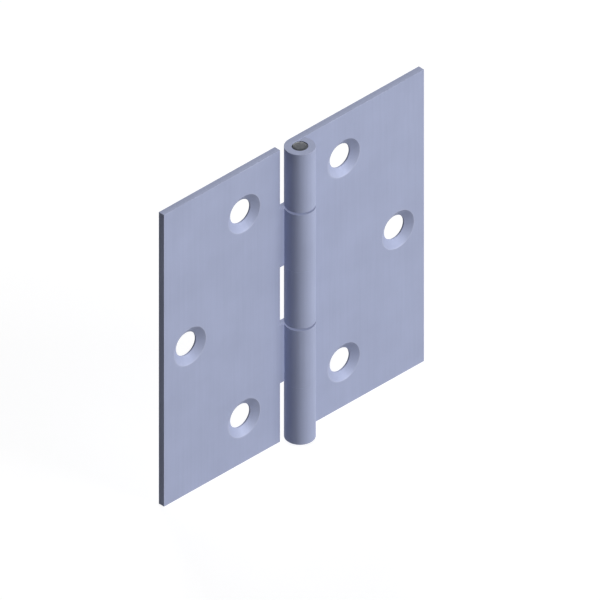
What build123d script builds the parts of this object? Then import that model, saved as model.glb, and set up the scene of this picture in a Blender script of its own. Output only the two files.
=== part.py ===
from build123d import *

import math
import os

# Steel butt hinge, shown opened flat: two sheet leaves whose inner edges are cut into fingers and
# rolled round one pin. The fixed leaf has the outer knuckles and the swinging leaf hangs between them.
# Origin on the pin's axis at half the leaves' height. +X runs across the leaves towards the fixed leaf,
# +Y towards the backs of the leaves, which lie on the door and its frame, and +Z up the pin.

# Leaves
leaf_width = 38.0  # from the pin's axis to the outer edge
leaf_height = 76.0
sheet = 1.6

# Pin and the bore that the sheet is rolled to
pin_diameter = 3.5
pin_clearance = 0.03  # on the radius
pin_end_chamfer = 0.15

# Barrel, counted from its top end, which is flush with the leaves
fixed_knuckle = 14.7  # the middle and bottom ones: the top one takes what is left of the barrel
swinging_knuckle = 14.95
swinging_knuckles = 2
end_play = 0.55  # between a fixed knuckle and the swinging one below it
barrel_setback = 0.5  # from the barrel's bottom end to the leaves' bottom edge
knuckle_clearance = 0.7  # from the barrel to the edge of a notch that it turns in
roll_seam = 0.12  # between the rolled tip and the front of its own leaf

# Countersunk screw holes, the same in both leaves
hole_diameter = 5.8
countersink_diameter = 9.3
hole_land = 0.35  # the straight wall left at the back of the hole
inner_hole_reach = 14.55  # from the pin's axis
inner_hole_height = 26.6  # above and below half height
outer_hole_reach = 30.4

bore_radius = pin_diameter / 2 + pin_clearance
barrel_radius = bore_radius + sheet
front = bore_radius  # the leaves' front faces: their backs lie level with the back of the barrel
notch_edge = barrel_radius + knuckle_clearance
leaf_top = leaf_height / 2
leaf_bottom = -leaf_height / 2
barrel_length = leaf_height - barrel_setback

# Knuckles as (bottom, top), going down: each swinging one rests on the fixed one below it
top_knuckle = barrel_length - swinging_knuckles * (end_play + swinging_knuckle + fixed_knuckle)
fixed_rows = [(leaf_top - top_knuckle, leaf_top)]
swinging_rows = []
for _ in range(swinging_knuckles):
    hung_from = fixed_rows[-1][0] - end_play
    seat = hung_from - swinging_knuckle
    swinging_rows.append((seat, hung_from))
    fixed_rows.append((seat - fixed_knuckle, seat))

# The rolled tip ends in a bevel that runs along the leaf's front face, a seam away from it
tip_level = front - roll_seam
outer_tip_angle = math.degrees(math.asin(tip_level / barrel_radius))
inner_tip_angle = math.degrees(math.asin(tip_level / bore_radius))

countersink_depth = sheet - hole_land
countersink_spread = (countersink_diameter - hole_diameter) / 2
countersink_angle = 2 * math.degrees(math.atan(countersink_spread / countersink_depth))


def notches(rows):
    """The stretches of a leaf's height, as (bottom, top), that carry none of its knuckles."""
    levels = [leaf_top] + [level for bottom, top in rows for level in (top, bottom)] + [leaf_bottom]
    return [(bottom, top) for top, bottom in zip(levels[::2], levels[1::2]) if top > bottom]


def rolled_leaf(rows):
    """A leaf that reaches towards +X, with a rolled knuckle along each of the given rows."""
    with BuildPart() as leaf:
        # The sheet's own section: straight along the back, once round the pin, and back along the front
        with BuildSketch(Plane.XY.offset(leaf_bottom)):
            with BuildLine():
                back = Line((leaf_width, barrel_radius), (0, barrel_radius))
                outside = CenterArc((0, 0), barrel_radius, 90, 270 + outer_tip_angle)
                inside = CenterArc((0, 0), bore_radius, 90, 270 + inner_tip_angle)
                Line(outside @ 1, inside @ 1)
                face = Line((0, front), (leaf_width, front))
                Line(face @ 1, back @ 0)
            make_face()
        extrude(amount=leaf_height)

        # Notches between the fingers, for the other leaf's knuckles
        for bottom, top in notches(rows):
            with BuildSketch(Plane.XY.offset(bottom)):
                with Locations((notch_edge, 0)):
                    Rectangle(
                        notch_edge + 2 * barrel_radius,
                        4 * barrel_radius,
                        align=(Align.MAX, Align.CENTER),
                    )
            extrude(amount=top - bottom, mode=Mode.SUBTRACT)

        # Screw holes, sunk from the front
        with Locations(Plane((0, front, 0), x_dir=(1, 0, 0), z_dir=(0, -1, 0))):
            with Locations(
                (inner_hole_reach, inner_hole_height),
                (inner_hole_reach, -inner_hole_height),
                (outer_hole_reach, 0),
            ):
                CounterSinkHole(
                    radius=hole_diameter / 2,
                    counter_sink_radius=countersink_diameter / 2,
                    counter_sink_angle=countersink_angle,
                )
    return leaf.part


with BuildPart() as fixed_leaf:
    add(rolled_leaf(fixed_rows))

with BuildPart() as swinging_leaf:
    mirror(rolled_leaf(swinging_rows), about=Plane.YZ)

# The pin fills the barrel from end to end
with BuildPart() as hinge_pin:
    with BuildSketch(Plane.XY.offset(leaf_top - barrel_length)):
        Circle(pin_diameter / 2)
    extrude(amount=barrel_length)
    chamfer(hinge_pin.edges().filter_by(GeomType.CIRCLE), pin_end_chamfer)

fixed_leaf.part.label = "fixed_leaf"
swinging_leaf.part.label = "swinging_leaf"
hinge_pin.part.label = "hinge_pin"

os.makedirs("parts", exist_ok=True)
export_step(fixed_leaf.part, "parts/fixed_leaf.step")
export_step(swinging_leaf.part, "parts/swinging_leaf.step")
export_step(hinge_pin.part, "parts/hinge_pin.step")
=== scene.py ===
import math

import bmesh
import bpy
from mathutils import Matrix, Vector


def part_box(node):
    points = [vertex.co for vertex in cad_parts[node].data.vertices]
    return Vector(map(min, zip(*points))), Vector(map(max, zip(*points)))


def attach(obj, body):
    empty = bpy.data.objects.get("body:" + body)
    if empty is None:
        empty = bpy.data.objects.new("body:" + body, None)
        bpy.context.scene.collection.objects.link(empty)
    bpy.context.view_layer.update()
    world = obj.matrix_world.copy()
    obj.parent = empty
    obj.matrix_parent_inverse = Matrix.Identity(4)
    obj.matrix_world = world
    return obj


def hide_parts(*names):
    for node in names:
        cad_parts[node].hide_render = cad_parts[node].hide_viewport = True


bl_info = {
    "name": "Butt Hinge",
    "version": (1, 0, 0),
    "blender": (4, 5, 0),
    "location": "3D View > Sidebar > Butt Hinge",
    "description": "Makes a steel butt hinge with rolled knuckles, its pin and a studio to show it in",
    "category": "Add Mesh",
}

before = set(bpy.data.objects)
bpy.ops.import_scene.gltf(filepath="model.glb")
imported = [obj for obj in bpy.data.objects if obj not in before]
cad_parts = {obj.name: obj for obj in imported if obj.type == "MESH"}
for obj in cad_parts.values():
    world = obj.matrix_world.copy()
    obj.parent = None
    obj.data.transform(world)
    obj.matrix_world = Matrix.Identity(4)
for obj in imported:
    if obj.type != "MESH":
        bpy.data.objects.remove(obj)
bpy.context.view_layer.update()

# The frame gives the leaves' width and height, the barrel's radius, and the pin's radius and length
LEAF_LOW, LEAF_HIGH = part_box("fixed_leaf")
PIN_LOW, PIN_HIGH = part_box("hinge_pin")
MM = 0.001

# How a leaf is cut and finished
LEAF_TREE = "Rolled Hinge Leaf"
NOTCHES = 3  # in each leaf: the fixed leaf's lowest is the step at the barrel's lower end
SWINGING_KNUCKLES = 2
NEAR_TOP = 1.0 * MM  # a notch that ends as near as this to the leaf's top end
TOP_LIFT = 2.0 * MM  # is taken this much further up, out through it
BIT_LEAD = 0.2 * MM  # how far in front of the sheet the countersink bit starts
CLOSING_GAP = 1e-7  # closes the raised sheet onto its underside
SAME_POINT = 1e-6  # once a leaf is cut, points nearer than this are one
REAL_EDGE = math.radians(30)  # an edge that turns further than this is sharp
EDGE_FLATS = 2  # across a broken edge

# The pin's ends are crowned over rings at these shares of their width
PIN_CROWN = 0.04 * MM
CROWN_RINGS = (0.35, 0.7, 1.0)

# Finishes
PLATING = "Satin Zinc Plating"
NOISE_LOW, NOISE_HIGH = 0.3, 0.7  # nearly all of a noise lies between these
METAL_GLOSS = 0.1
MIX_AMOUNT, MIX_FIRST, MIX_SECOND, MIX_RESULT = 0, 6, 7, 2  # a Mix node's sockets when it mixes colours

# How far apart the node editor shows the nodes
COLUMN_WIDTH, ROW_HEIGHT = 220, 170

# Floor and surroundings
WHITE = (1.0, 1.0, 1.0, 1.0)
MIDDLE_GREY = (0.5, 0.5, 0.5, 1.0)
FLOOR_RADIUS = 3.0
FLOOR_SIDES = 96
FLOOR_DROP = 0.01 * MM
FLOOR_GLOW = 0.66
DIM_FILL = 0.04

# Each lamp's name, direction, size in metres, power in watts, and whether it casts a shadow
LAMP_DISTANCE = 2.5
FRONT_RIGHT = (0.38, -0.766, 0.519)
BACK_RIGHT = (0.6, 0.78, 0.16)
LAMPS = (
    ("Main Soft Box", FRONT_RIGHT, 1.33, 15.0, True),
    ("Shadowless Fill", FRONT_RIGHT, 1.33, 59.0, False),
    ("Back Soft Box", BACK_RIGHT, 1.2, 50.0, True),
)

# Where the camera aims, from the origin to the right and up, and how it is set
AIM_RIGHT, AIM_UP = 0.03 * MM, -1.76 * MM
CAMERA_DISTANCE = 0.6
CLIP_START, CLIP_END = 0.01, 20.0


# Sizes and colours

def length(name, description, default):
    """A size in metres, shown to a hundredth of a millimetre in the sidebar."""
    return bpy.props.FloatProperty(
        name=name,
        description=description,
        default=default,
        min=0.0,
        subtype="DISTANCE",
        unit="LENGTH",
        precision=5,
    )


def angle(name, description, degrees):
    """An angle, set in degrees in the sidebar."""
    return bpy.props.FloatProperty(
        name=name, description=description, default=math.radians(degrees), subtype="ANGLE"
    )


def count(name, description, default, least):
    """A number of flats round something."""
    return bpy.props.IntProperty(name=name, description=description, default=default, min=least, max=256)


def colour(name, description, default):
    """A colour picked in the sidebar."""
    return bpy.props.FloatVectorProperty(
        name=name, description=description, default=default, size=3, min=0.0, max=1.0, subtype="COLOR"
    )


class LeafSizes(bpy.types.PropertyGroup):
    """The two leaves, which share every size but the places of their notches"""

    width: length("Leaf Width", "From the pin's axis to the outer edge", LEAF_HIGH[0])
    height: length("Leaf Height", "Height of both leaves", LEAF_HIGH[2] - LEAF_LOW[2])
    sheet: length("Sheet", "Thickness of the sheet", 1.6 * MM)
    barrel: length("Barrel Radius", "Outer radius of the rolled knuckles", LEAF_HIGH[1])
    seam: length("Roll Seam", "Gap between the rolled tip and the front of its own leaf", 0.12 * MM)
    clearance: length("Notch Clearance", "From the barrel to the edge of a notch that it turns in", 0.7 * MM)
    fixed_knuckle: length("Fixed Knuckle", "Length of a knuckle of the fixed leaf", 14.7 * MM)
    swinging_knuckle: length("Swinging Knuckle", "Length of a knuckle of the swinging leaf", 14.95 * MM)
    end_play: length("End Play", "Between a fixed knuckle and the swinging one below it", 0.55 * MM)
    setback: length("Barrel Setback", "From the barrel's lower end to the leaves' bottom edge", 0.5 * MM)
    # More than this would run over the thin tip of the roll
    broken_edge: length("Broken Edge", "How far the sheet's sharp edges are rounded", 0.03 * MM)
    roll_steps: count("Roll Steps", "Flats round a knuckle", 72, 12)


class HoleSizes(bpy.types.PropertyGroup):
    """The countersunk screw holes"""

    hole: length("Hole Radius", "Radius of the screw's hole", 2.9 * MM)
    countersink: length("Countersink Radius", "Radius of the countersink at the leaf's front", 4.65 * MM)
    land: length("Hole Land", "Straight wall left at the back of the hole", 0.35 * MM)
    inner_reach: length("Inner Reach", "From the pin's axis to the two inner holes", 14.55 * MM)
    inner_height: length("Inner Height", "Of the inner holes above and below half height", 26.6 * MM)
    outer_reach: length("Outer Reach", "From the pin's axis to the outer hole", 30.4 * MM)
    facets: count("Facets", "Flats round a hole", 96, 16)


class PinSizes(bpy.types.PropertyGroup):
    """The pin"""

    radius: length("Pin Radius", "Radius of the rod", PIN_HIGH[0])
    chamfer: length("End Chamfer", "Chamfer at both ends", 0.15 * MM)
    facets: count("Facets", "Flats round the pin", 72, 16)


class Finish(bpy.types.PropertyGroup):
    """Colours of the two metals"""

    leaf: colour("Leaf Steel", "Zinc-plated sheet with a pale blue cast", (0.356, 0.392, 0.546))
    leaf_worn: colour("Worn Edge", "Brighter plating where edges are rubbed", (0.47, 0.5, 0.63))
    pin: colour("Pin Steel", "Plain dark rod", (0.06, 0.065, 0.075))


class StudioSettings(bpy.types.PropertyGroup):
    """Floor and camera"""

    floor: colour("Floor", "What the floor throws back onto the hinge", (0.3, 0.3, 0.3))
    view_width: length("View Width", "Width that the camera takes in", 126.72 * MM)
    azimuth: angle("Azimuth", "Camera's turn about the pin", -43.72)
    elevation: angle("Elevation", "Camera's height above the horizon", 35.88)


# Node trees

def put(tree, kind, values=None, **settings):
    """Adds a node, sets it up, and sets or links each of its inputs."""
    made = tree.nodes.new(kind)
    for name, value in settings.items():
        setattr(made, name, value)
    for socket, value in (values or {}).items():
        if isinstance(value, bpy.types.NodeSocket):
            tree.links.new(value, made.inputs[socket])
        else:
            made.inputs[socket].default_value = value
    return made


def maths(tree, operation, *values):
    """A Math node over the given numbers or sockets."""
    return put(tree, "ShaderNodeMath", dict(enumerate(values)), operation=operation).outputs[0]


def vectors(tree, operation, *values):
    """The outputs of a Vector Math node over the given vectors or sockets."""
    return put(tree, "ShaderNodeVectorMath", dict(enumerate(values)), operation=operation).outputs


def compare(tree, operation, first, second):
    """Whether one number is above or below another."""
    values = {0: first, 1: second}
    return put(tree, "FunctionNodeCompare", values, data_type="FLOAT", operation=operation).outputs[0]


def xyz(tree, x=0.0, y=0.0, z=0.0):
    """A vector from three numbers or sockets."""
    return put(tree, "ShaderNodeCombineXYZ", {0: x, 1: y, 2: z}).outputs[0]


def split(tree, vector):
    """A vector's three parts, by the names X, Y and Z."""
    return put(tree, "ShaderNodeSeparateXYZ", {0: vector}).outputs


def join(tree, *parts):
    """Several geometries as one, in their order."""
    joined = put(tree, "GeometryNodeJoinGeometry")
    for part in reversed(parts):
        tree.links.new(part, joined.inputs[0])
    return joined.outputs[0]


def arrange(tree):
    """Lays the nodes out in columns, each to the right of what feeds it."""
    column = {node: 0 for node in tree.nodes}
    for _ in tree.nodes:
        for link in tree.links:
            column[link.to_node] = max(column[link.to_node], column[link.from_node] + 1)
    filled = {}
    for node in tree.nodes:
        row = filled.get(column[node], 0)
        node.location = (COLUMN_WIDTH * column[node], -ROW_HEIGHT * row)
        filled[column[node]] = row + 1


def leaf_inputs(tree):
    """Names the tree's inputs and its output, and returns the inputs."""
    sides = tree.interface
    sides.new_socket("Geometry", in_out="INPUT", socket_type="NodeSocketGeometry")
    for name in (
        "Leaf Width", "Leaf Height", "Sheet", "Barrel Radius", "Roll Seam", "Notch Edge", "First Notch",
        "Notch Length", "Notch Pitch", "Hole Radius", "Countersink Radius", "Hole Land", "Inner Reach",
        "Inner Height", "Outer Reach",
    ):
        sides.new_socket(name, in_out="INPUT", socket_type="NodeSocketFloat").subtype = "DISTANCE"
    for name in ("Notches", "Roll Steps", "Hole Facets"):
        sides.new_socket(name, in_out="INPUT", socket_type="NodeSocketInt")
    sides.new_socket("Mirrored", in_out="INPUT", socket_type="NodeSocketBool")
    sides.new_socket("Material", in_out="INPUT", socket_type="NodeSocketMaterial")
    sides.new_socket("Geometry", in_out="OUTPUT", socket_type="NodeSocketGeometry")
    return put(tree, "NodeGroupInput").outputs


def rolled_sheet(tree, given, bore, half_height):
    """The sheet before it is cut: straight along the back, once round the pin, and as tall as the leaf."""
    # Its section is a strip of quads. The first station is the outer edge and the others go round the pin.
    # The strip's two sides are the back and the front of the sheet, and both end along the leaf's front.
    steps = given["Roll Steps"]
    across = maths(tree, "ADD", steps, 1.0)
    strip = put(tree, "GeometryNodeMeshGrid", {
        "Size X": across,
        "Size Y": 1.0,
        "Vertices X": maths(tree, "ADD", steps, 2.0),
        "Vertices Y": 2,
    }).outputs["Mesh"]
    place = split(tree, put(tree, "GeometryNodeInputPosition").outputs[0])
    station = maths(tree, "ROUND", maths(tree, "ADD", place["X"], maths(tree, "MULTIPLY", across, 0.5)))
    outside = maths(tree, "SUBTRACT", 0.5, place["Y"])
    radius = maths(tree, "MULTIPLY_ADD", outside, given["Sheet"], bore)
    tip_level = maths(tree, "SUBTRACT", bore, given["Roll Seam"])
    tip = maths(tree, "ARCSINE", maths(tree, "DIVIDE", tip_level, radius))
    turned = maths(tree, "DIVIDE", maths(tree, "SUBTRACT", station, 1.0), steps)
    around = maths(tree, "MULTIPLY_ADD", turned, maths(tree, "ADD", tip, 1.5 * math.pi), 0.5 * math.pi)
    rolled = xyz(
        tree,
        maths(tree, "MULTIPLY", radius, maths(tree, "COSINE", around)),
        maths(tree, "MULTIPLY", radius, maths(tree, "SINE", around)),
    )
    section_point = put(tree, "GeometryNodeSwitch", {
        "Switch": compare(tree, "LESS_THAN", station, 0.5),
        "False": rolled,
        "True": xyz(tree, given["Leaf Width"], radius),
    }, input_type="VECTOR").outputs[0]
    section = put(tree, "GeometryNodeSetPosition", {
        "Geometry": strip,
        "Position": section_point,
        "Offset": xyz(tree, 0.0, 0.0, maths(tree, "MULTIPLY", half_height, -1.0)),
    }).outputs[0]
    raised = put(tree, "GeometryNodeExtrudeMesh", {
        "Mesh": section,
        "Offset": xyz(tree, 0.0, 0.0, given["Leaf Height"]),
        "Offset Scale": 1.0,
        "Individual": False,
    }, mode="FACES").outputs["Mesh"]
    underside = put(tree, "GeometryNodeFlipFaces", {"Mesh": section}).outputs[0]
    closed = {"Geometry": join(tree, raised, underside), "Distance": CLOSING_GAP}
    return put(tree, "GeometryNodeMergeByDistance", closed).outputs[0]


def notch_cutters(tree, given, half_height):
    """One cutter for each notch, going down. One that comes near the top end is carried out through it."""
    width = maths(tree, "MULTIPLY_ADD", given["Barrel Radius"], 2.0, given["Notch Edge"])
    cutter = put(tree, "GeometryNodeMeshCube", {
        "Size": xyz(tree, width, maths(tree, "MULTIPLY", given["Barrel Radius"], 4.0), given["Notch Length"]),
    }).outputs["Mesh"]
    first = xyz(
        tree,
        maths(tree, "SUBTRACT", given["Notch Edge"], maths(tree, "MULTIPLY", width, 0.5)),
        0.0,
        maths(tree, "MULTIPLY_ADD", given["Notch Length"], 0.5, given["First Notch"]),
    )
    row = put(tree, "GeometryNodeMeshLine", {
        "Count": given["Notches"],
        "Start Location": first,
        "Offset": xyz(tree, 0.0, 0.0, maths(tree, "MULTIPLY", given["Notch Pitch"], -1.0)),
    }, mode="OFFSET").outputs[0]
    set_up = put(tree, "GeometryNodeInstanceOnPoints", {"Points": row, "Instance": cutter}).outputs[0]
    notches = put(tree, "GeometryNodeRealizeInstances", {"Geometry": set_up}).outputs[0]
    level = split(tree, put(tree, "GeometryNodeInputPosition").outputs[0])["Z"]
    near_top = compare(tree, "GREATER_THAN", level, maths(tree, "SUBTRACT", half_height, NEAR_TOP))
    return put(tree, "GeometryNodeSetPosition", {
        "Geometry": notches,
        "Selection": near_top,
        "Offset": (0.0, 0.0, TOP_LIFT),
    }).outputs[0]


def hole_cutters(tree, given, bore):
    """A drill and a countersink bit, each at all three holes."""
    # The bit's cone starts a little in front of the sheet and runs on to its point, so that it leaves the
    # drill's wall just above the land. The drill is four sheets long.
    spread = maths(tree, "SUBTRACT", given["Countersink Radius"], given["Hole Radius"])
    depth = maths(tree, "SUBTRACT", given["Sheet"], given["Hole Land"])
    slope = maths(tree, "DIVIDE", spread, depth)
    mouth = maths(tree, "MULTIPLY_ADD", slope, BIT_LEAD, given["Countersink Radius"])
    bit = put(tree, "GeometryNodeMeshCone", {
        "Vertices": given["Hole Facets"],
        "Radius Top": 0.0,
        "Radius Bottom": mouth,
        "Depth": maths(tree, "DIVIDE", mouth, slope),
    }).outputs["Mesh"]
    drill = put(tree, "GeometryNodeMeshCylinder", {
        "Vertices": given["Hole Facets"],
        "Radius": given["Hole Radius"],
        "Depth": maths(tree, "MULTIPLY", given["Sheet"], 4.0),
    }).outputs["Mesh"]
    start = maths(tree, "SUBTRACT", bore, BIT_LEAD)
    inner = put(tree, "GeometryNodeMeshLine", {
        "Count": 2,
        "Start Location": xyz(tree, given["Inner Reach"], start, given["Inner Height"]),
        "Offset": xyz(tree, 0.0, 0.0, maths(tree, "MULTIPLY", given["Inner Height"], -2.0)),
    }, mode="OFFSET").outputs[0]
    outer = put(tree, "GeometryNodeMeshLine", {
        "Count": 1,
        "Start Location": xyz(tree, given["Outer Reach"], start, 0.0),
    }, mode="OFFSET").outputs[0]
    centres = join(tree, inner, outer)
    into_sheet = (-math.pi / 2, 0.0, 0.0)
    cutters = []
    for tool in (drill, bit):
        set_up = put(tree, "GeometryNodeInstanceOnPoints", {
            "Points": centres,
            "Instance": tool,
            "Rotation": into_sheet,
        }).outputs[0]
        cutters.append(put(tree, "GeometryNodeRealizeInstances", {"Geometry": set_up}).outputs[0])
    return cutters


def leaf_tree():
    """Geometry nodes for a sheet leaf: rolled section, notches along its inner edge, countersunk holes."""
    tree = bpy.data.node_groups.new(LEAF_TREE, "GeometryNodeTree")
    given = leaf_inputs(tree)
    bore = maths(tree, "SUBTRACT", given["Barrel Radius"], given["Sheet"])
    half_height = maths(tree, "MULTIPLY", given["Leaf Height"], 0.5)
    sheet = rolled_sheet(tree, given, bore, half_height)

    # Everything is cut at once, so that no cut leaves its marks on the rim of another
    cut = put(tree, "GeometryNodeMeshBoolean", {"Mesh 1": sheet}, operation="DIFFERENCE", solver="EXACT")
    for cutter in (notch_cutters(tree, given, half_height), *hole_cutters(tree, given, bore)):
        tree.links.new(cutter, cut.inputs["Mesh 2"])
    leaf = cut.outputs["Mesh"]

    # The swinging leaf reaches the other way
    turned = put(tree, "GeometryNodeTransform", {"Geometry": leaf, "Scale": (-1.0, 1.0, 1.0)}).outputs[0]
    handed = put(tree, "GeometryNodeSwitch", {
        "Switch": given["Mirrored"],
        "False": leaf,
        "True": put(tree, "GeometryNodeFlipFaces", {"Mesh": turned}).outputs[0],
    }, input_type="GEOMETRY").outputs[0]
    real = put(tree, "GeometryNodeRealizeInstances", {"Geometry": handed}).outputs[0]
    plated = put(tree, "GeometryNodeSetMaterial", {"Geometry": real, "Material": given["Material"]})
    put(tree, "NodeGroupOutput", {0: plated.outputs[0]})
    arrange(tree)
    return tree


# Finishes

def new_finish(name):
    """An empty material, its tree, and the object's own coordinates and normals."""
    finish = bpy.data.materials.new(name)
    finish.use_nodes = True
    tree = finish.node_tree
    tree.nodes.clear()
    return finish, tree, put(tree, "ShaderNodeTexCoord").outputs


def grain(tree, place, size, stretch=(1.0, 1.0, 1.0), detail=2.0):
    """Noise of about that size in metres, drawn out along an axis by a stretch below 1."""
    across = put(tree, "ShaderNodeMapping", {"Vector": place, "Scale": stretch}).outputs[0]
    values = {"Vector": across, "Scale": 1.0 / size, "Detail": detail}
    return put(tree, "ShaderNodeTexNoise", values).outputs["Fac"]


def rescale(tree, value, low, high, to_low, to_high, how="LINEAR"):
    """Takes a stretch of a value to another, held at its ends."""
    return put(tree, "ShaderNodeMapRange", {
        "Value": value,
        "From Min": low,
        "From Max": high,
        "To Min": to_low,
        "To Max": to_high,
    }, interpolation_type=how, clamp=True).outputs[0]


def from_noise(tree, noise, to_low, to_high):
    """Takes a noise to a stretch of numbers."""
    return rescale(tree, noise, NOISE_LOW, NOISE_HIGH, to_low, to_high)


def tinted(plain, share):
    """A colour made darker or lighter."""
    return tuple(min(1.0, share * part) for part in plain)


def blend_colour(tree, amount, first, second):
    """Mixes two colours by an amount."""
    mixed = put(tree, "ShaderNodeMix", {MIX_AMOUNT: amount}, data_type="RGBA")
    for socket, value in ((MIX_FIRST, first), (MIX_SECOND, second)):
        if isinstance(value, bpy.types.NodeSocket):
            tree.links.new(value, mixed.inputs[socket])
        else:
            mixed.inputs[socket].default_value = (*value, 1.0)
    return mixed.outputs[MIX_RESULT]


def finish_metal(tree, shade, metallic, rough, relief, strength, depth):
    """Ends a metal's tree with its relief, its shader and the material's output."""
    bumps = {"Height": relief, "Strength": strength, "Distance": depth}
    metal = put(tree, "ShaderNodeBsdfPrincipled", {
        "Base Color": shade,
        "Metallic": metallic,
        "Roughness": rough,
        "Specular IOR Level": METAL_GLOSS,
        "Normal": put(tree, "ShaderNodeBump", bumps).outputs[0],
    })
    put(tree, "ShaderNodeOutputMaterial", {"Surface": metal.outputs[0]})
    arrange(tree)


def rubbed_edges(tree, place, facing, clouds, sizes, holes):
    """1 along the outer edge, the ends and the holes' rims on a leaf's two faces, and 0 away from them."""
    spot = split(tree, vectors(tree, "ABSOLUTE", place)["Vector"])
    side = maths(tree, "SUBTRACT", sizes.width, spot["X"])
    end = maths(tree, "SUBTRACT", sizes.height / 2, spot["Z"])

    # A hole's rim is the countersink's on the front face and the drill's on the back one
    level = split(tree, place)["Y"]
    front, back = sizes.barrel - 0.9 * sizes.sheet, sizes.barrel - 0.1 * sizes.sheet
    rim = rescale(tree, level, front, back, holes.countersink, holes.hole)
    flat_spot = xyz(tree, spot["X"], 0.0, spot["Z"])
    rims = []
    for centre in ((holes.inner_reach, 0.0, holes.inner_height), (holes.outer_reach, 0.0, 0.0)):
        away = vectors(tree, "DISTANCE", flat_spot, centre)["Value"]
        rims.append(maths(tree, "ABSOLUTE", maths(tree, "SUBTRACT", away, rim)))

    nearest = maths(tree, "MINIMUM", maths(tree, "MINIMUM", side, end), maths(tree, "MINIMUM", *rims))
    ragged = from_noise(tree, clouds, 0.1 * MM, 0.45 * MM)
    rubbed = rescale(tree, maths(tree, "DIVIDE", nearest, ragged), 0.2, 1.0, 1.0, 0.0, how="SMOOTHSTEP")
    return maths(tree, "MULTIPLY", rubbed, rescale(tree, facing, 0.5, 0.9, 0.0, 1.0))


def torn_faces(tree, place, facing, sizes):
    """1 on the back half of the cut faces, where the press broke through, and less on the front half."""
    level = split(tree, place)["Y"]
    cut_face = rescale(tree, facing, 0.2, 0.4, 1.0, 0.0)
    front, back = sizes.barrel - 0.6 * sizes.sheet, sizes.barrel - 0.5 * sizes.sheet
    return maths(tree, "MULTIPLY", cut_face, rescale(tree, level, front, back, 0.35, 1.0))


def leaf_finish(colours, sizes, holes):
    """Satin zinc over rolled sheet: clouded, finely streaked along the pin, rubbed bright at its edges."""
    finish, tree, given = new_finish(PLATING)
    place = given["Object"]
    facing = split(tree, vectors(tree, "ABSOLUTE", given["Normal"])["Vector"])["Y"]
    clouds = grain(tree, place, 9.0 * MM, detail=3.0)
    streaks = grain(tree, place, 0.5 * MM, stretch=(1.0, 1.0, 0.03), detail=3.0)
    hairlines = grain(tree, place, 0.16 * MM, stretch=(1.0, 1.0, 0.02))
    pits = grain(tree, place, 0.35 * MM)
    worn = rubbed_edges(tree, place, facing, clouds, sizes, holes)

    plain = tuple(colours.leaf)
    shade = blend_colour(tree, from_noise(tree, clouds, 0.0, 1.0), tinted(plain, 0.965), tinted(plain, 1.03))
    shade = blend_colour(tree, from_noise(tree, streaks, 0.0, 0.12), shade, tinted(plain, 0.8))
    shade = blend_colour(tree, maths(tree, "MULTIPLY", worn, 0.3), shade, tuple(colours.leaf_worn))
    rough = from_noise(tree, streaks, 0.56, 0.66)
    rough = maths(tree, "SUBTRACT", rough, maths(tree, "MULTIPLY", worn, 0.08))
    relief = maths(tree, "ADD", maths(tree, "MULTIPLY", hairlines, 0.6), maths(tree, "MULTIPLY", pits, 0.4))

    # The cut faces round the sheet are duller and torn
    torn = torn_faces(tree, place, facing, sizes)
    tears = grain(tree, place, 0.1 * MM, stretch=(1.0, 0.08, 1.0))
    dulled = maths(tree, "MULTIPLY", torn, from_noise(tree, tears, 0.0, 0.35))
    shade = blend_colour(tree, dulled, shade, tinted(plain, 0.7))
    rough = maths(tree, "MULTIPLY_ADD", torn, 0.1, rough)
    relief = maths(tree, "MULTIPLY_ADD", maths(tree, "MULTIPLY", torn, tears), 2.0, relief)
    finish_metal(tree, shade, 0.13, rough, relief, strength=0.25, depth=0.02 * MM)
    return finish


def pin_finish(colours, sizes):
    """Plain dark rod: drawn along its length, with faint turned rings on its cut ends."""
    finish, tree, given = new_finish("Dark Drawn Rod")
    place = given["Object"]
    drawn = grain(tree, place, 0.2 * MM, stretch=(1.0, 1.0, 0.03), detail=3.0)
    patches = grain(tree, place, 1.2 * MM, detail=3.0)
    flat_spot = vectors(tree, "MULTIPLY", place, (1.0, 1.0, 0.0))["Vector"]
    reach = vectors(tree, "LENGTH", flat_spot)["Value"]
    ring_width = 0.14 * MM
    rings = maths(tree, "SINE", maths(tree, "MULTIPLY", reach, 2.0 * math.pi / ring_width))

    # The chamfers and the rod's side are a little brighter than its cut ends
    plain = tuple(colours.pin)
    shade = blend_colour(tree, from_noise(tree, patches, 0.0, 1.0), tinted(plain, 0.88), tinted(plain, 1.12))
    inside, outside = sizes.radius - 1.3 * sizes.chamfer, sizes.radius - 0.8 * sizes.chamfer
    shade = blend_colour(tree, rescale(tree, reach, inside, outside, 0.0, 0.5), shade, tinted(plain, 1.3))
    rough = from_noise(tree, drawn, 0.45, 0.55)
    relief = maths(tree, "MULTIPLY_ADD", rings, 0.5, drawn)
    finish_metal(tree, shade, 0.3, rough, relief, strength=0.4, depth=0.01 * MM)
    return finish


# Pieces

def show(name, mesh):
    """An object of the mesh, at the origin, in the scene's own collection."""
    made = bpy.data.objects.new(name, mesh)
    bpy.context.scene.collection.objects.link(made)
    return made


def evaluated_mesh(maker, name):
    """The plain mesh that a modifier leaves."""
    bpy.context.view_layer.update()
    graph = bpy.context.evaluated_depsgraph_get()
    mesh = bpy.data.meshes.new_from_object(maker.evaluated_get(graph), depsgraph=graph)
    mesh.name = name
    return mesh


def shade_smooth(work):
    """Shades a mesh smooth up to its real edges."""
    for face in work.faces:
        face.smooth = True
    for edge in work.edges:
        edge.smooth = edge.is_manifold and edge.calc_face_angle() < REAL_EDGE


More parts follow.
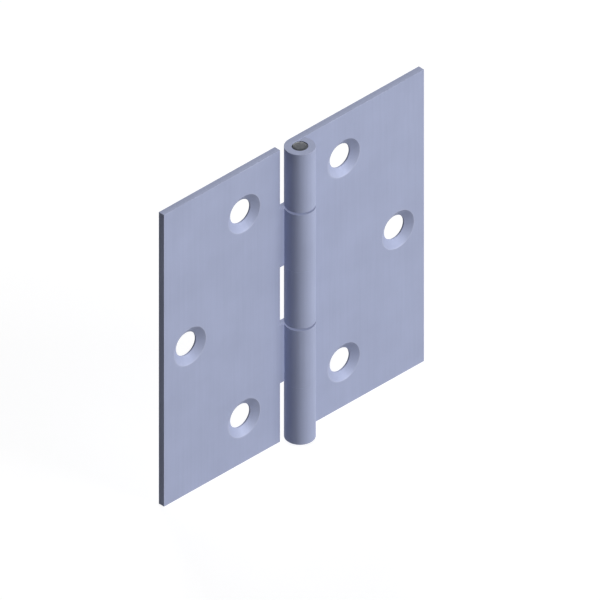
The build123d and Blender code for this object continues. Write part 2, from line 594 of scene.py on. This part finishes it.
def tidy_sheet(mesh):
    """Merges doubled points and shades the mesh. One that isn't closed stops the script."""
    work = bmesh.new()
    work.from_mesh(mesh)
    bmesh.ops.remove_doubles(work, verts=work.verts, dist=SAME_POINT)
    bmesh.ops.dissolve_degenerate(work, edges=work.edges, dist=SAME_POINT)
    shade_smooth(work)
    open_edges = sum(not edge.is_manifold for edge in work.edges)
    work.to_mesh(mesh)
    work.free()
    if open_edges:
        raise RuntimeError(f"{mesh.name} has {open_edges} open edges")


def plating(scene):
    """The finish that both leaves share, made once."""
    made = bpy.data.materials.get(PLATING)
    return made or leaf_finish(scene.hinge_finish, scene.hinge_leaves, scene.hinge_holes)


def make_leaf(scene, name, first_notch, notch_length, mirrored):
    """Makes one leaf from the leaf tree and rounds its sharp edges."""
    sizes, holes = scene.hinge_leaves, scene.hinge_holes
    tree = bpy.data.node_groups.get(LEAF_TREE) or leaf_tree()
    maker = show(name + "_maker", bpy.data.meshes.new(name + "_maker"))
    nodes = maker.modifiers.new("Leaf", "NODES")
    nodes.node_group = tree
    values = {
        "Leaf Width": sizes.width,
        "Leaf Height": sizes.height,
        "Sheet": sizes.sheet,
        "Barrel Radius": sizes.barrel,
        "Roll Seam": sizes.seam,
        "Notch Edge": sizes.barrel + sizes.clearance,
        "First Notch": first_notch,
        "Notch Length": notch_length,
        "Notch Pitch": sizes.fixed_knuckle + sizes.swinging_knuckle + sizes.end_play,
        "Notches": NOTCHES,
        "Roll Steps": sizes.roll_steps,
        "Hole Radius": holes.hole,
        "Countersink Radius": holes.countersink,
        "Hole Land": holes.land,
        "Inner Reach": holes.inner_reach,
        "Inner Height": holes.inner_height,
        "Outer Reach": holes.outer_reach,
        "Hole Facets": holes.facets,
        "Mirrored": mirrored,
        "Material": plating(scene),
    }
    for socket in tree.interface.items_tree:
        if socket.in_out == "INPUT" and socket.name in values:
            nodes[socket.identifier] = values[socket.name]
    mesh = evaluated_mesh(maker, name)
    bpy.data.objects.remove(maker)
    tidy_sheet(mesh)
    leaf = show(name, mesh)
    edges = leaf.modifiers.new("Broken Edges", "BEVEL")
    edges.width = sizes.broken_edge
    edges.segments = EDGE_FLATS
    edges.limit_method = "ANGLE"
    edges.angle_limit = REAL_EDGE
    edges.harden_normals = True
    return leaf


def below_top_knuckle(sizes):
    """The level of the top knuckle's lower end: that knuckle takes what the others leave of the barrel."""
    others = SWINGING_KNUCKLES * (sizes.fixed_knuckle + sizes.swinging_knuckle + sizes.end_play)
    return sizes.height / 2 - (sizes.height - sizes.setback - others)


def pin_mesh(sizes):
    """A rod from rings and two middle points, with slightly crowned, chamfered ends."""
    low, high = PIN_LOW[2], PIN_HIGH[2]
    shoulder = sizes.radius - sizes.chamfer
    upper = [(shoulder * share, high - PIN_CROWN * share * share) for share in CROWN_RINGS]
    upper.append((sizes.radius, high - PIN_CROWN - sizes.chamfer))
    # Rings from the lower end's middle to the upper end's, as (reach, level)
    rings = [(reach, low + high - level) for reach, level in upper] + upper[::-1]
    turns = [2 * math.pi * step / sizes.facets for step in range(sizes.facets)]
    work = bmesh.new()
    loops = []
    for reach, level in rings:
        ring = [(reach * math.cos(turn), reach * math.sin(turn), level) for turn in turns]
        loops.append([work.verts.new(point) for point in ring])
    bottom = work.verts.new((0.0, 0.0, low))
    top = work.verts.new((0.0, 0.0, high))
    for step in range(sizes.facets):
        after = (step + 1) % sizes.facets
        work.faces.new((bottom, loops[0][after], loops[0][step]))
        work.faces.new((top, loops[-1][step], loops[-1][after]))
        for ring, above in zip(loops, loops[1:]):
            work.faces.new((ring[step], ring[after], above[after], above[step]))
    shade_smooth(work)
    mesh = bpy.data.meshes.new("hinge_pin_rod")
    work.to_mesh(mesh)
    work.free()
    return mesh


class HINGE_OT_fixed_leaf(bpy.types.Operator):
    """Make the fixed leaf, with the top, middle and bottom knuckles"""

    bl_idname = "hinge.fixed_leaf"
    bl_label = "Fixed Leaf"

    def execute(self, context):
        sizes = context.scene.hinge_leaves
        gap = sizes.swinging_knuckle + sizes.end_play
        first = below_top_knuckle(sizes) - gap
        leaf = make_leaf(context.scene, "fixed_leaf_sheet", first, gap, False)
        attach(leaf, "fixed_side")
        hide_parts("fixed_leaf")
        return {"FINISHED"}


class HINGE_OT_swinging_leaf(bpy.types.Operator):
    """Make the swinging leaf, with the two knuckles between the fixed ones"""

    bl_idname = "hinge.swinging_leaf"
    bl_label = "Swinging Leaf"

    def execute(self, context):
        sizes = context.scene.hinge_leaves
        gap = sizes.fixed_knuckle + sizes.end_play
        first = below_top_knuckle(sizes) - sizes.end_play
        leaf = make_leaf(context.scene, "swinging_leaf_sheet", first, gap, True)
        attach(leaf, "swinging_side")
        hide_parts("swinging_leaf")
        return {"FINISHED"}


class HINGE_OT_pin(bpy.types.Operator):
    """Make the pin, a rod with slightly crowned, chamfered ends"""

    bl_idname = "hinge.pin"
    bl_label = "Pin"

    def execute(self, context):
        sizes = context.scene.hinge_pin
        mesh = pin_mesh(sizes)
        mesh.materials.append(pin_finish(context.scene.hinge_finish, sizes))
        pin = show("hinge_pin_rod", mesh)
        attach(pin, "fixed_side")
        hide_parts("hinge_pin")
        return {"FINISHED"}


# Stage

def seen_directly(tree):
    """1 for what the camera sees, also in metal and through glass, and 0 for light that bounces."""
    path = put(tree, "ShaderNodeLightPath").outputs
    either = maths(tree, "MAXIMUM", path["Is Camera Ray"], path["Is Glossy Ray"])
    return maths(tree, "MAXIMUM", either, path["Is Transmission Ray"])


def pale_floor(studio):
    """A floor that the hinge stands on, white to the camera but for the hinge's soft shadow."""
    work = bmesh.new()
    bmesh.ops.create_circle(work, cap_ends=True, segments=FLOOR_SIDES, radius=FLOOR_RADIUS)
    for vert in work.verts:
        vert.co.z = LEAF_LOW[2] - FLOOR_DROP
    mesh = bpy.data.meshes.new("floor")
    work.to_mesh(mesh)
    work.free()
    pale = bpy.data.materials.new("Pale Floor")
    pale.use_nodes = True
    tree = pale.node_tree
    tree.nodes.clear()
    bounced = put(tree, "ShaderNodeBsdfDiffuse", {"Color": (*studio.floor, 1.0)}).outputs[0]
    lit = put(tree, "ShaderNodeBsdfDiffuse", {"Color": MIDDLE_GREY}).outputs[0]
    glow = put(tree, "ShaderNodeEmission", {"Color": WHITE, "Strength": FLOOR_GLOW}).outputs[0]
    seen = put(tree, "ShaderNodeAddShader", {0: lit, 1: glow}).outputs[0]
    both = put(tree, "ShaderNodeMixShader", {0: seen_directly(tree), 1: bounced, 2: seen}).outputs[0]
    put(tree, "ShaderNodeOutputMaterial", {"Surface": both})
    arrange(tree)
    mesh.materials.append(pale)
    return show("floor", mesh)


def white_surroundings():
    """A world that is white to the camera and gives the hinge only a dim fill."""
    world = bpy.data.worlds.new("White Studio")
    world.use_nodes = True
    tree = world.node_tree
    tree.nodes.clear()
    strength = maths(tree, "MULTIPLY_ADD", seen_directly(tree), 1.0 - DIM_FILL, DIM_FILL)
    around = put(tree, "ShaderNodeBackground", {"Color": WHITE, "Strength": strength}).outputs[0]
    put(tree, "ShaderNodeOutputWorld", {"Surface": around})
    arrange(tree)
    return world


def add_lamp(name, towards, size, power, shadow):
    """A square soft box that looks at the hinge from a direction."""
    light = bpy.data.lights.new(name, "AREA")
    light.shape = "SQUARE"
    light.size = size
    light.energy = power
    light.use_shadow = shadow
    lamp = bpy.data.objects.new(name, light)
    bpy.context.scene.collection.objects.link(lamp)
    back = Vector(towards).normalized()
    turn = back.to_track_quat("Z", "Y").to_matrix().to_4x4()
    lamp.matrix_world = Matrix.Translation(back * LAMP_DISTANCE) @ turn


def aimed_camera(studio):
    """A camera without perspective at the picture's viewing angle."""
    azimuth, elevation = studio.azimuth, studio.elevation
    level = math.cos(elevation)
    back = Vector((math.sin(azimuth) * level, -math.cos(azimuth) * level, math.sin(elevation)))
    right = Vector((math.cos(azimuth), math.sin(azimuth), 0.0))
    up = back.cross(right)
    camera = bpy.data.objects.new("Camera", bpy.data.cameras.new("Camera"))
    camera.data.type = "ORTHO"
    camera.data.ortho_scale = studio.view_width
    camera.data.clip_start = CLIP_START
    camera.data.clip_end = CLIP_END
    camera.matrix_world = Matrix((
        (right.x, up.x, back.x, 0.0),
        (right.y, up.y, back.y, 0.0),
        (right.z, up.z, back.z, 0.0),
        (0.0, 0.0, 0.0, 1.0),
    ))
    camera.location = right * AIM_RIGHT + up * AIM_UP + back * CAMERA_DISTANCE
    bpy.context.scene.collection.objects.link(camera)
    return camera


class HINGE_OT_stage(bpy.types.Operator):
    """Set the floor, the white surroundings, the lamps and the camera"""

    bl_idname = "hinge.stage"
    bl_label = "Stage"

    def execute(self, context):
        scene = context.scene
        floor = pale_floor(scene.hinge_studio)
        scene.world = white_surroundings()
        for lamp in LAMPS:
            add_lamp(*lamp)
        scene.camera = aimed_camera(scene.hinge_studio)
        scene.view_settings.view_transform = "Standard"
        return {"FINISHED"}


# Sidebar

class HINGE_PT_sidebar(bpy.types.Panel):
    """Sizes and colours of the hinge, and a button for each piece"""

    bl_idname = "HINGE_PT_sidebar"
    bl_label = "Butt Hinge"
    bl_space_type = "VIEW_3D"
    bl_region_type = "UI"
    bl_category = "Butt Hinge"

    def draw(self, context):
        layout = self.layout
        layout.use_property_split = True
        for settings in SETTINGS:
            box = layout.box()
            group = getattr(context.scene, settings)
            box.label(text=group.bl_rna.description)
            for prop in group.bl_rna.properties:
                if prop.identifier not in ("rna_type", "name"):
                    box.prop(group, prop.identifier)
        for operator in OPERATORS:
            layout.operator(operator.bl_idname)


SETTINGS = {
    "hinge_leaves": LeafSizes,
    "hinge_holes": HoleSizes,
    "hinge_pin": PinSizes,
    "hinge_finish": Finish,
    "hinge_studio": StudioSettings,
}
OPERATORS = (HINGE_OT_fixed_leaf, HINGE_OT_swinging_leaf, HINGE_OT_pin, HINGE_OT_stage)


def register():
    for kind in (*SETTINGS.values(), *OPERATORS, HINGE_PT_sidebar):
        bpy.utils.register_class(kind)
    for name, kind in SETTINGS.items():
        setattr(bpy.types.Scene, name, bpy.props.PointerProperty(type=kind))


def unregister():
    for name in SETTINGS:
        delattr(bpy.types.Scene, name)
    for kind in reversed((*SETTINGS.values(), *OPERATORS, HINGE_PT_sidebar)):
        bpy.utils.unregister_class(kind)


def main():
    """Makes the hinge and its studio."""
    register()
    bpy.ops.hinge.fixed_leaf()
    bpy.ops.hinge.swinging_leaf()
    bpy.ops.hinge.pin()
    bpy.ops.hinge.stage()


if __name__ == "__main__":
    main()
